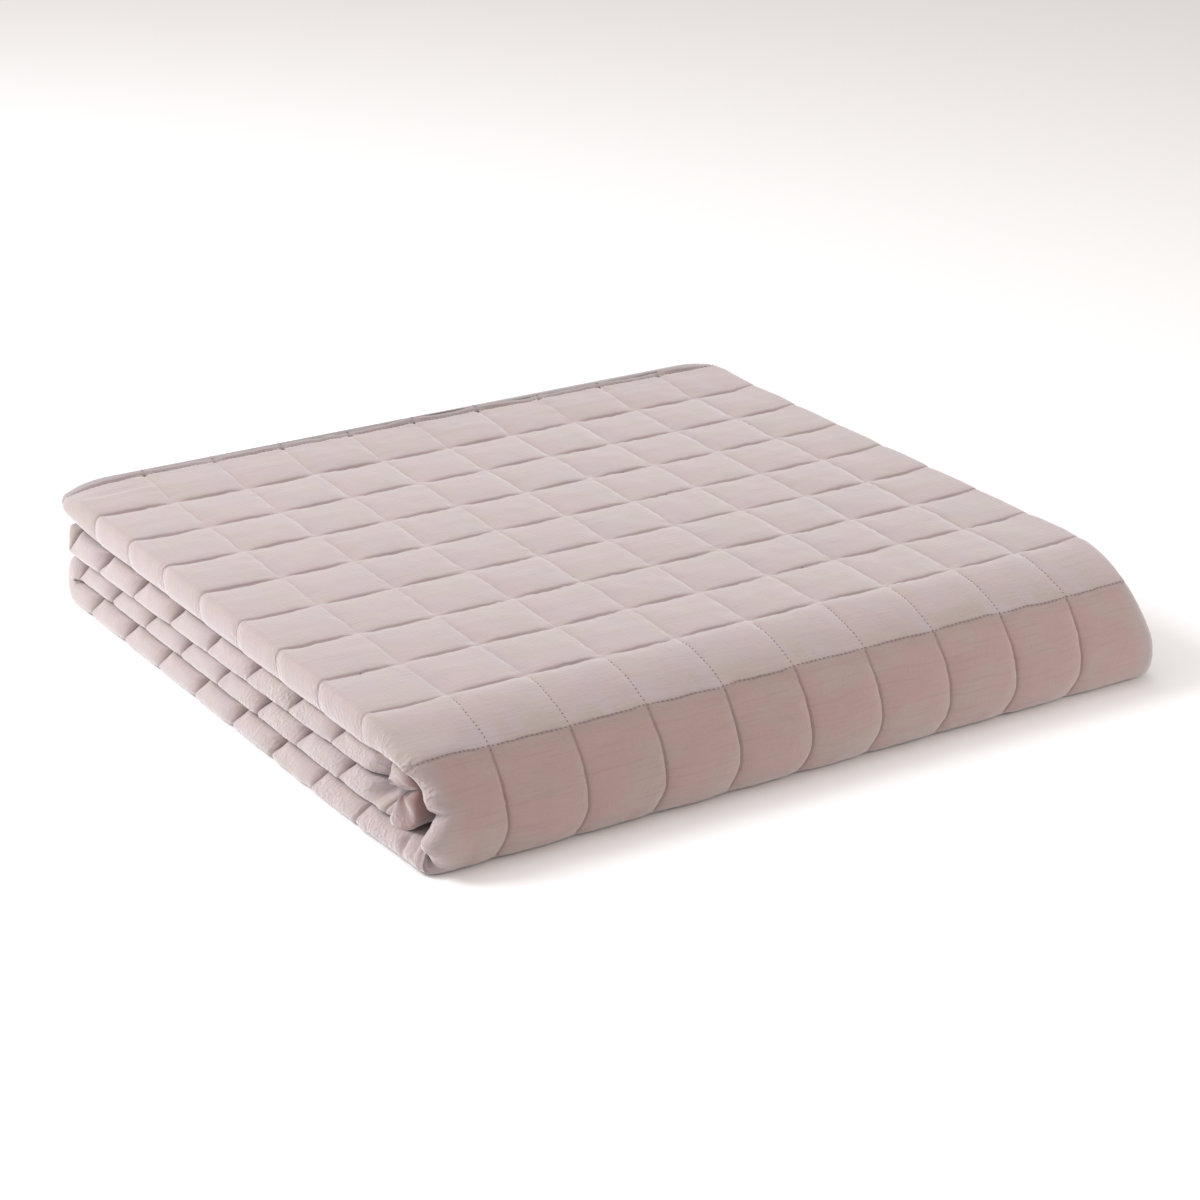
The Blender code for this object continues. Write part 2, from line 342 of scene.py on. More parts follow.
@dataclass(frozen=True)
class PaperSweep:
    """Matt white background paper of a product studio."""

    name: str = "paper_sweep"
    colour: str = "fcfcfc"
    roughness: float = 0.95
    gloss: float = 0.1

    def make(self) -> bpy.types.Material:
        """Builds the plain material."""
        nodes = Shading(self.name, Roughness=self.roughness, Specular_IOR_Level=self.gloss)
        nodes.shader.inputs["Base Color"].default_value = linear(self.colour)
        return nodes.material


# ---- The folded path ----


@dataclass(frozen=True)
class Hem:
    """Shape of a side hem on one stretch: how far it is rounded in from its edge, and how fully."""

    outer_round: float = 9.0
    outer_power: float = 2.8
    inner_round: float = 9.0
    inner_power: float = 2.8
    middle: float = 0.5  # where its edge lies, as a share of the thickness below the outer skin
    draw: float = 4.0  # how far a stitch line draws it in
    scallop: float = 0.3  # share of the drawing-in that is broad
    slant: float = 0.0  # how far to the rear its stitch lines lean on the way down
    gather: float = 0.8  # height of its small gathers
    saw: float = 0.0  # how much fuller each square is at its rear end
    lengthwise: float = 0.7  # depth of the lengthwise valleys, as a share of the cross ones


@dataclass(frozen=True)
class Stretch:
    """One stretch of the sheet. Its thick, groove, left and right are those at its end."""

    name: str
    length: float  # round the outer skin
    crease: float  # sharp turn at its start, in degrees
    turn: float  # steady turn along it, positive towards the inner skin
    thick: float
    groove: float  # depth of the stitch lines
    left: float  # how far the left hem stands out of its place
    right: float
    first_seam: float  # distance of its first cross seam from its start
    seams: int  # how many it has, one pitch apart
    showing: Showing
    hem: Hem = Hem()


@dataclass
class FoldedPath:
    """The line that the sheet's outer skin follows, and what changes along it."""

    pitch: float = 50.0
    layer: float = 17.6
    air: float = 1.0
    crown: float = 2.5
    rear_hem_y: float = 8.5
    rear_lift: float = 3.5
    under_hem_y: float = 3.0
    rear_fold_y: float = -15.0
    inner_fold_y: float = -428.5
    bottom_seam_y: float = -395.0
    fold_end: float = 16.0  # how far the rear fold's fuller hem runs on
    edge_seam: float = 11.5  # distance of the seam that closes the rolled rear edge
    valley: float = 2.7  # depth of the stitch lines on the top
    step: float = 0.5
    rows: dict[str, Array] = field(default_factory=dict)
    stretches: list[Stretch] = field(default_factory=list)
    starts: list[float] = field(default_factory=list)
    seams: list[float] = field(default_factory=list)
    end: float = 0.0

    CORNER_HEM = Hem(9.0, 2.2, 17.0, 1.5, 0.35, 1.2, 0.2, -3.0, 0.3, 1.0, 0.5)
    TOP_HEM = Hem(7.0, 2.7, 6.5, 2.6, 0.5, 1.2, 0.2, -3.0, 0.35, 0.9, 0.72)
    ROLL_HEM = Hem(9.0, 2.1, 7.0, 2.3, 0.5, 2.0, 0.4, 0.0, 1.4, 0.0, 1.0)
    STRIP_HEM = Hem(6.0, 3.2, 6.0, 3.2, 0.5, 12.0, 0.35, 13.0, 0.9, 0.0, 1.0)
    FOLD_HEM = Hem(6.0, 2.6, 3.5, 3.2, 0.86, 3.0, 0.35, 4.0, 0.9, 0.0, 1.0)

    def __post_init__(self) -> None:
        """Lays out the stretches and reads the path every half millimetre."""
        self.stretches = self._sheet()
        self._trace()

    @property
    def top(self) -> float:
        """Height of the top of the stack."""
        return 4 * self.layer + 3 * self.air + self.crown

    @property
    def fold_reach(self) -> float:
        """Length round the outside of a flat fold."""
        return math.pi * (self.layer + self.air / 2)

    def _arc_drop(self, length: float, heading: float, turn: float) -> float:
        """How far an arc goes down. Its heading is in degrees below level."""
        first, last = math.radians(heading), math.radians(heading + turn)
        return length * (math.cos(first) - math.cos(last)) / (last - first)

    def _front_roll(self) -> list[Stretch]:
        """The stretches that take the sheet over the front edge, down to the surface."""
        shoulder, lip, brow, cheek = 32.0, 6.0, 20.0, 54.0
        shoulder_run, lip_run, brow_run, cheek_run = self.pitch, 8.0, 27.0, 32.0
        lip_crease = 13.0
        lip_heading = shoulder + lip_crease
        cheek_heading = lip_heading + lip + brow
        toe_heading = cheek_heading + cheek
        toe = 180.0 - toe_heading
        drop = self.top - self._arc_drop(shoulder_run, 0.0, shoulder)
        drop -= self._arc_drop(lip_run + brow_run, lip_heading, lip + brow)
        drop -= self._arc_drop(cheek_run, cheek_heading, cheek)
        toe_run = drop / self._arc_drop(1.0, toe_heading, toe)
        full = self.layer
        return [
            Stretch(*sizes, Showing.TOP, self.ROLL_HEM)
            for sizes in (
                ("shoulder", shoulder_run, 0.0, shoulder, 12.3, 0.8, 0.0, 1.0, shoulder_run, 1),
                ("lip", lip_run, lip_crease, lip, 13.3, 2.6, -2.0, 2.8, 0.0, 0),
                ("brow", brow_run, 0.0, brow, 16.5, 3.4, -9.0, 9.0, 0.0, 0),
                ("cheek", cheek_run, 0.0, cheek, full, 2.4, -9.0, 14.0, 0.0, 0),
                ("toe", toe_run, 0.0, toe, full, 1.2, -1.0, 7.0, toe_run, 1),
            )
        ]

    def _sheet(self) -> list[Stretch]:
        """The whole sheet, from the first layer's rear hem to the second layer's."""
        full = self.layer + self.crown
        rear = self.pitch + self.rear_hem_y
        slope = math.degrees(math.asin(self.rear_lift / rear))
        top, hem, strip = Showing.TOP, self.TOP_HEM, self.STRIP_HEM
        deep, pitch = self.valley, self.pitch
        rows = [
            Stretch("rear hem", 0.0, 0.0, 0.0, full, deep, 12.0, 4.5, 0.0, 0, top, self.CORNER_HEM),
            Stretch("rear row", rear, slope, 0.0, full, 1.2 * deep, 6.3, 4.5, rear, 1, top, hem),
            Stretch("top", 7 * pitch, -slope, 0.0, full, deep, 3.5, 4.0, pitch, 7, top, hem),
            *self._front_roll(),
        ]
        toe_y = self._ends(rows)[-1][1]
        pads = self.bottom_seam_y - toe_y
        back = self.rear_fold_y - self.bottom_seam_y
        third = self.rear_fold_y - self.inner_fold_y
        second = self.under_hem_y - self.inner_fold_y
        reach, under, hems = self.fold_reach, Showing.UNDERSIDE, Showing.HEMS
        fold, near = self.FOLD_HEM, self.fold_end
        for name, length, turn, groove, left, right, first_seam, seams, showing, hem in (
            ("front pads", pads, 0.0, 1.6, 1.0, 7.0, pads, 1, under, strip),
            ("bottom", back, 0.0, 2.5, 6.5, 5.0, pitch, 7, under, strip),
            ("rear fold", reach, 180.0, 1.2, 6.5, 3.0, 0.0, 0, top, fold),
            ("fold end", near, 0.0, 1.2, 5.0, 3.0, 10.0, 1, hems, strip),
            ("third", third - near, 0.0, 1.2, -1.0, 3.0, 60.0 - near, 8, hems, strip),
            ("inner fold", reach, -180.0, 0.0, -1.5, 3.0, 34.0, 1, hems, strip),
            ("second", second, 0.0, 1.2, 10.5, 3.0, 10.5, 9, hems, strip),
        ):
            sizes = (self.layer, groove, left, right, first_seam, seams)
            rows.append(Stretch(name, length, 0.0, turn, *sizes, showing, hem))
        return rows

    def _skin_length(self, stretch: Stretch) -> float:
        """Length along the outer skin, which is inside a fold that turns away from it."""
        return stretch.length + min(0.0, math.radians(stretch.turn)) * self.layer

    def _ends(self, stretches: list[Stretch]) -> list[tuple[float, float, float, float]]:
        """Distance, Y, Z and heading in degrees at each stretch's start and at the path's end."""
        ends = [(0.0, self.rear_hem_y, self.top + self.rear_lift, 180.0)]
        for stretch in stretches:
            distance, y, z, heading = ends[-1]
            heading += stretch.crease
            ends[-1] = (distance, y, z, heading)
            half = math.radians(stretch.turn) / 2
            chord = self._skin_length(stretch) * (math.sin(half) / half if half else 1.0)
            way = math.radians(heading) + half
            y, z = y + chord * math.cos(way), z + chord * math.sin(way)
            ends.append((distance + stretch.length, y, z, heading + stretch.turn))
        return ends

    def _trace(self) -> None:
        """Reads place, heading and sizes along the path, and notes the cross seams."""
        ends = self._ends(self.stretches)
        self.end = ends[-1][0]
        self.starts = [place[0] for place in ends]
        parts: dict[str, list[Array]] = {}
        before = self.stretches[0]
        for stretch, (distance, y, z, heading) in zip(self.stretches, ends):
            share = np.linspace(0.0, 1.0, max(2, int(stretch.length / self.step)))
            half = math.radians(stretch.turn) * share / 2
            way = math.radians(heading) + half
            chord = self._skin_length(stretch) * share * np.sinc(half / math.pi)
            found = {"s": distance + stretch.length * share, "heading": way + half}
            found |= {"y": y + chord * np.cos(way), "z": z + chord * np.sin(way)}
            for name in ("thick", "groove", "left", "right"):
                found[name] = getattr(before, name) * (1 - share) + getattr(stretch, name) * share
            for name in vars(stretch.hem):
                low, high = getattr(before.hem, name), getattr(stretch.hem, name)
                found[name] = low * (1 - share) + high * share
            for name, values in found.items():
                parts.setdefault(name, []).append(values)
            before = stretch
            first = distance + stretch.first_seam
            self.seams += [first + self.pitch * count for count in range(stretch.seams)]
        self.seams.insert(0, self.edge_seam)
        self.rows = {name: np.concatenate(values) for name, values in parts.items()}
        window = np.ones(9) / 9  # eases the bends over four millimetres
        ends_kept = np.pad(self.rows["heading"], len(window) // 2, mode="edge")
        self.rows["heading"] = np.convolve(ends_kept, window, mode="valid")

    def at(self, s: Array) -> dict[str, Array]:
        """Everything that changes along the path, at distances along the sheet."""
        return {name: np.interp(s, self.rows["s"], values) for name, values in self.rows.items()}

    def start_of(self, name: str) -> float:
        """Distance at which the named stretch starts."""
        return self.starts[[stretch.name for stretch in self.stretches].index(name)]


# ---- Listed creases and puckers ----


@dataclass(frozen=True)
class Crease:
    """A soft trough or ridge pressed into the cloth between two places."""

    u0: float
    s0: float
    u1: float
    s1: float
    height: float  # negative for a trough
    width: float

    def lift(self, u: Array, s: Array) -> Array:
        """How far it lifts the cloth at each place."""
        along_u, along_s = self.u1 - self.u0, self.s1 - self.s0
        length = math.hypot(along_u, along_s)
        share = ((u - self.u0) * along_u + (s - self.s0) * along_s) / length**2
        off = np.hypot(u - self.u0 - share * along_u, s - self.s0 - share * along_s)
        ends = smooth_step(-0.25, 0.2, share) * smooth_step(-0.25, 0.2, 1.0 - share)
        return self.height * ends * bell(off, self.width)


@dataclass(frozen=True)
class Tuck:
    """A listed place where the left hem is drawn in, or stands out."""

    s: float
    inward: float  # negative where it stands out
    width: float
    part: int = 0  # 1 at the hem's upper side only, -1 at its lower side only

    def draw(self, s: Array, slit: Array) -> Array:
        """How far it draws the hem in at each place."""
        reach = {0: 1.0, 1: slit, -1: 1.0 - slit}[self.part]
        return self.inward * bell(s - self.s, self.width) * reach


# ---- The quilted cover ----


@dataclass
class QuiltedCover:
    """The whole blanket as one closed sheet of quilted squares on the folded path."""

    name: str = "quilted_cover"
    path: FoldedPath = field(default_factory=FoldedPath)
    columns: int = 10
    middle: tuple[float, float] = (252.14, -229.01)  # centre of the footprint
    corner: float = 24.0  # plan radius of the sheet's corners
    corner_droop: float = 5.0  # how far the top's rear left corner hangs
    edge_round: float = 8.0  # rounding of the two short hems
    edge_power: float = 2.8
    cross_rise: tuple[float, ...] = (0.5, 0.7, 0.34, 5.5)  # shares and reaches beside a cross seam
    rear_steepness: float = 0.2  # how steep a square's rear edge is, as a share of its front edge
    lengthwise_rise: tuple[float, ...] = (0.2, 0.7, 0.6, 5.0)  # the same beside a lengthwise seam
    widening: float = 0.9  # how much wider the lengthwise valleys are at the front of a square
    slide: float = 0.25  # how far the filling has slid to the front of each square
    pit: float = -0.25  # how much deeper the crossings are, negative as they are less deep
    pit_reach: float = 7.5
    crossing: float = 5.0  # how far from a crossing the cross seams' steep edges fade
    edge_seam_depth: float = 0.35  # depth of the seam along the rear hem, as a share of the others
    roll_height: float = 1.2  # how far the rolled rear edge stands above its seam
    roll_wave: float = 1.3  # how much that height differs
    knot_depth: float = 1.3  # how deep the stitch lines are tied down at the rear hem
    knot_reach: float = 2.0
    ridge_depth: float = 0.3  # depth of the cross seam at the front ridge, as a share
    face_bow: float = 1.3  # how far the lengthwise seams bow to the right on the front face
    face_hook: float = 4.0  # how far they hook back to the left at its foot
    sag: float = 0.8  # how far the cross seams bow to the front between two lengthwise ones
    left_valley: float = 0.35  # depth of the cross valleys at the left hem
    right_valley: float = 0.35
    inner_valley: float = 0.5  # depth of the inner skin's valleys, as a share of the outer skin's
    flare_fade: tuple[float, float] = (12.0, 44.0)  # where a hem's standing out fades
    lean_fade: tuple[float, float] = (2.0, 14.0)  # where the lean of its stitch lines fades
    right_lean: float = 0.4  # the right hem's lean, as a share of the left one's
    right_draw: float = 0.3  # the right hem's drawing-in, as a share of the left one's
    end_draw: float = 0.6  # how far a stitch line draws the short hems in
    wander: float = 0.9  # how far the stitch lines stray
    uneven: float = 0.5  # how much the squares' fullness differs
    seam_shade_breadth: float = 1.3  # breadth of the painted shade along a seam
    gather_tone: float = 5.0  # how far the finest gathers reach from a hem
    ridge_shade_reach: float = 16.0  # how far the painted shade reaches behind the front ridge
    inner_fold_shade_reach: float = 17.0  # half the length round the inner fold that is painted in shade
    rose_fade: float = 60.0  # length over which the rose fades behind the front roll's foot
    pucker: float = 0.42  # height of the small gathers along the stitch lines
    # the grid's lines, by their distance from a seam
    offsets: tuple[float, ...] = (0.0, 0.8, 1.8, 3.1, 4.8, 7.0, 9.8, 13.0, 16.6, 20.6, 25.0)
    wide_step: float = 4.5  # between the lines that are further off
    least_step: float = 0.7
    # more lines, by their distance from a narrow tuck
    pleat_offsets: tuple[float, ...] = (-3.0, -1.7, -0.8, 0.0, 0.8, 1.7, 3.0)
    narrow: float = 4.0  # what counts as a narrow tuck
    hem_clear: float = 16.0  # width of the side hems' own lines
    end_clear: float = 1.5  # how far past the short hems' rounding the other lines start
    hem_lines: int = 8  # round each skin's side of a hem
    hem_kept: int = 4  # lines beside the hems that hidden stretches keep as well
    creases: tuple[Crease, ...] = (
        Crease(10.0, 30.0, 42.0, 27.0, -1.0, 3.0),  # the first square's flat crease
        Crease(14.0, 40.0, 44.0, 38.0, -0.5, 2.5),
        Crease(4.0, 457.0, 34.0, 455.0, 2.2, 10.0),  # the full corner over the front roll
        Crease(4.0, 503.0, 13.0, 506.5, -1.2, 1.6),  # puckers at the front roll's left rim
        Crease(2.0, 474.0, 11.0, 479.0, 1.0, 2.2),
        Crease(3.0, 481.0, 10.0, 484.0, -0.9, 1.5),
    )
    tucks: tuple[Tuck, ...] = (
        Tuck(472.0, 4.3, 11.0),  # the scalloped left rim of the front roll
        Tuck(478.0, -1.2, 3.2),
        Tuck(488.5, 5.5, 3.2),
        Tuck(508.0, -8.0, 9.0),
        Tuck(533.0, 2.0, 1.6, 1),  # the pleats and the leaning crease behind its foot
        Tuck(538.0, 1.6, 1.4, 1),
        Tuck(549.0, 5.0, 2.2, 1),
        Tuck(1429.0, 13.0, 7.0, 1),  # the hollow over the third layer's end
        Tuck(1509.0, 9.0, 7.0, -1),
        Tuck(1444.0, 3.0, 2.2),
        Tuck(1463.0, 4.0, 9.0),
        Tuck(1477.0, 3.0, 2.5),
    )

    @property
    def width(self) -> float:
        """Width of the sheet between its places of the side hems."""
        return self.columns * self.path.pitch

    # ---- fullness ----

    def _rise(
        self, off: Array, span: Array | float, shape: tuple[float, ...], steep: Array | float = 1.0
    ) -> Array:
        """How full a square is at a distance from its stitch line, from 0 to 1."""
        sharp, sharp_reach, soft, soft_reach = shape
        sharp, soft = sharp * steep, soft + sharp * (1.0 - steep)
        crown = np.sin(math.pi * np.clip(off / span, 0.0, 0.5))
        rise = sharp * (1.0 - np.exp(-off / sharp_reach)) + soft * (1.0 - np.exp(-off / soft_reach))
        return rise + (1.0 - sharp - soft) * crown

    def _from_column(self, u: Array) -> Array:
        """Distance to the nearest lengthwise seam."""
        pitch = self.path.pitch
        return np.abs(u - np.clip(np.round(u / pitch), 1, self.columns - 1) * pitch)

    def _across(self, off: Array, slid: Array) -> Array:
        """The fullness beside a lengthwise seam. Its valley widens to the front of a square."""
        pitch = self.path.pitch
        sharp, sharp_reach, soft, soft_reach = self.lengthwise_rise
        shape = (sharp, sharp_reach, soft, soft_reach * (1.0 + self.widening * slid))
        return self._rise(np.minimum(off, pitch / 2), pitch, shape)

    def _along(self, s: Array, off_u: Array) -> tuple[Array, Array, Array]:
        """Distance to the nearest cross seam, the fullness it leaves, the place in the square."""
        seams = np.array(self.path.seams)
        after = np.clip(np.searchsorted(seams, s), 1, len(seams) - 1)
        span = seams[after] - seams[after - 1]
        off = np.minimum(np.abs(s - seams[after - 1]), np.abs(seams[after] - s))
        share = np.clip((s - seams[after - 1]) / span, 0.0, 1.0)
        span = np.where(s > seams[-1], 2 * self.path.pitch, span)
        steep = np.where(share > 0.5, 1.0, self.rear_steepness)
        steep = (1.0 - bell(off_u, self.crossing)) * steep
        rise = self._rise(np.minimum(off, span / 2), span, self.cross_rise, steep)
        shallow = (1.0 - self.edge_seam_depth) * bell(s - self.path.edge_seam, 8.0)
        ridge = self.path.start_of("lip")
        shallow = shallow + (1.0 - self.ridge_depth) * bell(s - ridge, 9.0)
        return off, 1.0 - (1.0 - rise) * (1.0 - shallow), share

    # ---- place ----

    def _rounded(self, side: Array, end: Array) -> tuple[Array, Array]:
        """Distances from both edges, moved so that the sheet's square corners become round."""
        a = np.clip(1.0 - side / self.corner, 0.0, 1.0)
        b = np.clip(1.0 - end / self.corner, 0.0, 1.0)
        near = (a > 0) & (b > 0)
        rounded_side = self.corner * (1.0 - a * np.sqrt(1.0 - b * b / 2))
        rounded_end = self.corner * (1.0 - b * np.sqrt(1.0 - a * a / 2))
        return np.where(near, rounded_side, side), np.where(near, rounded_end, end)

    def points(self, u: Array, s: Array, skin: Skin) -> Array:
        """Places on one skin of the folded sheet.

        Args:
            u: distances across the sheet.
            s: distances along it.
            skin: which face of the sheet.

        Returns:
            X, Y and Z of each place in the last axis, in millimetres, from the sheet's own corner.
        """
        row = self.path.at(s)
        outer = skin is Skin.OUTER
        near_left = u < self.width / 2
        side, end = np.minimum(u, self.width - u), np.minimum(s, self.path.end - s)
        reach = row["outer_round"] if outer else row["inner_round"]
        power = row["outer_power"] if outer else row["inner_power"]
        t_side, t_end = side / reach, end / self.edge_round
        power = np.where(t_side < t_end, power, self.edge_power)
        edge = np.clip(np.minimum(t_side, t_end), 0.0, 1.0)
        rise = (1.0 - (1.0 - edge) ** power) ** (1.0 / power)
        level = rise * np.where((-np.cos(row["heading"]) > -0.3) == outer, 1.0, -1.0)

        off_u = self._from_column(u)
        off_s, full_s, share = self._along(s, off_u)
        slid = np.where(s < self.path.start_of("shoulder"), 2.0 * share - 1.0, 0.0)
        full_u = self._across(off_u, slid)
        full_s = full_s * (1.0 - self.slide * np.clip(1.0 - share, 0.0, 1.0) ** 1.5 * (slid != 0.0))
        full = (1.0 - row["lengthwise"] * (1.0 + 0.5 * slid) * (1.0 - full_u)) * full_s

        drawn = self._drawn_in(row, s, off_s, share, level, side, near_left)
        new_side, new_end = self._rounded(side, end)
        flare = np.where(near_left, row["left"], row["right"])
        flare = flare * (1.0 - smooth_step(*self.flare_fade, side))
        shift = new_side + drawn - side - flare
        x = u + np.where(near_left, shift, -shift)
        valley_u = 0.8 * bell(off_u, 1.8, 1.2) + 0.2 * bell(off_u, 8.0)
        new_end = new_end + self.end_draw * valley_u * np.exp(-end / 12.0)
        forward = np.where(s < self.path.end / 2, 1.0, -1.0) * (new_end - end)
        wander_u, wander_s = self._wander(u, s)
        x, forward = x + wander_u, forward + wander_s
        lean = row["slant"] * (1.0 - level) / 2 * (1.0 - smooth_step(*self.lean_fade, side))
        lean = lean * smooth_step(0.0, 45.0, end)
        lean = np.cos(row["heading"]) * lean * np.where(near_left, 1.0, self.right_lean)
        forward = forward + lean

        middle = row["middle"] * row["thick"]
        if outer:
            near_right = smooth_step(self.width - 22.0, self.width - 4.0, u)
            fade = 1.0 - (1.0 - self.right_valley) * near_right
            off_left = smooth_step(1.0, 11.0, u)
            fade = fade * (self.left_valley + (1.0 - self.left_valley) * off_left)
            pit = self.pit * bell(np.hypot(off_u, off_s), self.pit_reach, 1.2)
            sunk = row["groove"] * ((1.0 - full) * fade + pit / 3.0)
            sunk = np.where(s < self.path.edge_seam, self._rolled_edge(u, s, row["groove"]), sunk)
            knot = np.hypot(off_u, s - self.path.edge_seam)
            sunk = sunk + self.knot_depth * bell(knot, self.knot_reach)
            depth = sunk + (middle - sunk) * (1.0 - rise)
            depth -= self.relief(u, s, full, off_u, off_s) * rise
        else:
            lower = row["thick"] - middle
            depth = row["thick"] - lower * (1.0 - rise)
            valley = self.inner_valley * row["groove"] * (1.0 - full)
            depth -= valley * rise * smooth_step(4.0, 12.0, side)
        droop = self.corner_droop * bell(np.hypot(u, s), self.corner)
        depth = depth + droop * (0.3 + 0.7 * rise * (1.0 if outer else -1.0))
        y_along, z_along = np.cos(row["heading"]), np.sin(row["heading"])
        y_out, z_out = np.sin(row["heading"]), -np.cos(row["heading"])
        y = row["y"] + y_along * forward - y_out * depth
        z = row["z"] + z_along * forward - z_out * depth
        return np.stack([x, y, z], axis=-1)

    def _drawn_in(
        self,
        row: dict[str, Array],
        s: Array,
        off_s: Array,
        share: Array,
        level: Array,
        side: Array,
        near_left: Array,
    ) -> Array:
        """How far the stitch lines and their gathers draw a side hem in.

        Args:
            row: what changes along the sheet.
            s: distances along it.
            off_s: distance to the nearest cross seam.
            share: place in the square, from 0 at one cross seam to 1 at the next.
            level: 1 on the upper skin, 0 on the hem's edge and -1 on the lower skin.
            side: distance from the side hem.
            near_left: whether the place is in the left half.

        Returns:
            The distance inward at each place.
        """
        slit = 0.1 + 0.9 * smooth_step(-0.7, 0.9, level)
        narrow, broad = bell(off_s, 1.1 + 1.3 * slit, 1.2), bell(off_s, 9.0)
        valley = narrow + (broad - narrow) * row["scallop"]
        uneven = 1.0 + 0.5 * noise(s / self.path.pitch + 0.5, np.where(near_left, 3.0, 9.0), 5)
        drawn = row["draw"] * uneven * slit * valley * np.exp(-side / 14.0)
        drawn = drawn + row["saw"] * (share - smooth_step(0.0, 0.18, share)) * np.exp(-side / 12.0)
        by_hand = sum(tuck.draw(s, slit) for tuck in self.tucks) * np.exp(-side / 10.0)
        drawn = drawn + np.where(near_left, by_hand, 0.0)
        strength = row["gather"] * (0.35 + 0.65 * smooth_step(-100.0, -400.0, row["y"]))
        folds = noise(s / 5.0, level * 1.6, 31) + noise(s / 9.0, level * 1.3, 32)
        near_seam = 0.35 + 0.65 * np.exp(-off_s / 10.0)
        drawn = drawn + strength * folds * near_seam * np.exp(-side / 5.0)
        return drawn * np.where(near_left, 1.0, self.right_draw)

    def _rolled_edge(self, u: Array, s: Array, groove: Array) -> Array:
        """How far the rolled rear edge lies below the squares' tops."""
        half = self.path.edge_seam / 2
        roll = np.sqrt(np.clip(1.0 - ((s - half) / half) ** 2, 0.0, 1.0))
        height = self.roll_height + self.roll_wave * noise(u / 31.0, 0.0 * u, 61)
        return groove * self.edge_seam_depth - height * roll

    def _wander(self, u: Array, s: Array) -> tuple[Array, Array]:
        """How far the cloth strays across and along the sheet, least at its edges."""
        inside = smooth_step(4.0, 30.0, np.minimum(u, self.width - u))
        inside = inside * smooth_step(4.0, 30.0, np.minimum(s, self.path.end - s))
        column, cross = np.round(u / self.path.pitch), np.round(s / self.path.pitch)
        across = noise(s / 37.0, column * 3.7, 11) + 0.5 * noise(s / 15.0, column * 5.1, 12)
        along = noise(u / 37.0, cross * 3.7, 13) + 0.5 * noise(u / 15.0, cross * 5.1, 14)
        along = along + 0.35 * noise(u / 5.0, cross * 2.3, 15)
        ridge, foot = self.path.start_of("lip"), self.path.start_of("toe")
        down = np.clip((s - ridge) / (foot - ridge), 0.0, 1.0)
        hook = smooth_step(0.7, 1.0, down) * (1.0 - smooth_step(foot + 12.0, foot + 50.0, s))
        bow = self.face_bow * np.sin(math.pi * down) - self.face_hook * hook
        bow = bow * smooth_step(10.0, 40.0, np.minimum(u, self.width - u))
        sag = self.sag * np.sin(math.pi * u / self.path.pitch) ** 2 * inside * (s < ridge)
        return self.wander * across * inside + bow, self.wander * along * inside + sag

    def relief(self, u: Array, s: Array, full: Array, off_u: Array, off_s: Array) -> Array:
        """Uneven filling, gathers along the stitch lines and the hand-placed creases.

        Args:
            u: distances across the sheet.
            s: distances along it.
            full: how full the square is there.
            off_u: distance to the nearest lengthwise seam.
            off_s: distance to the nearest cross seam.

        Returns:
            How far the outer skin stands above its plain shape.
        """
        row = self.path.at(s)
        column = np.floor(u / self.path.pitch)
        square = np.searchsorted(np.array(self.path.seams), s)
        filling = noise(column * 7.31, square * 5.77, 21) * self.uneven * full
        beads = 0.25 * noise(u / 11.0, s / 11.0, 22) + 0.18 * noise(u / 5.5, s / 5.5, 23)
        gather_u = noise(u / 14.0, s / 3.4, 24) * np.exp(-off_u / 6.0)
        gather_s = noise(u / 3.4, s / 14.0, 25) * np.exp(-off_s / 6.0)
        lift = filling + beads * full + self.pucker * (gather_u + gather_s)
        lift = lift * np.clip(row["groove"] / 2.5, 0.0, 1.0)
        for crease in self.creases:
            lift = lift + crease.lift(u, s)
        return lift

    # ---- mesh ----

    def _between(
        self, seams: list[float], low: float, high: float, extra: tuple[float, ...] = ()
    ) -> list[float]:
        """Lines from low to high, close together beside the seams and the extra places."""
        lines, pitch = set(), self.path.pitch
        for before, after in zip([seams[0] - pitch, *seams], [*seams, seams[-1] + pitch]):
            half = (after - before) / 2
            for offset in self.offsets:
                if offset < half - 1.0:
                    lines |= {before + offset, after - offset}
            lines.add(before + half)
            wide = before + self.offsets[-1]
            while wide < after - self.offsets[-1]:
                lines.add(wide)
                wide += self.wide_step
        lines |= {place + offset for place in extra for offset in self.pleat_offsets}
        kept: list[float] = []
        for line in sorted(lines):
            if low <= line <= high and (not kept or line - kept[-1] > self.least_step):
                kept.append(line)
        return kept

    def _column_lines(self) -> list[float]:
        """Lines along the sheet between its two side hems."""
        seams = [self.path.pitch * count for count in range(1, self.columns)]
        return self._between(seams, self.hem_clear, self.width - self.hem_clear)

    def _row_lines(self) -> list[float]:
        """Lines across the sheet between its two short hems."""
        narrow = tuple(tuck.s for tuck in self.tucks if tuck.width < self.narrow)
        clear = self.edge_round + self.end_clear
        return self._between(self.path.seams, clear, self.path.end - clear, narrow)

    def _showing(self, s: float) -> Showing:
        """How much of the sheet shows at a distance along it."""
        index = int(np.searchsorted(self.path.starts, s, side="right")) - 1
        return self.path.stretches[min(index, len(self.path.stretches) - 1)].showing

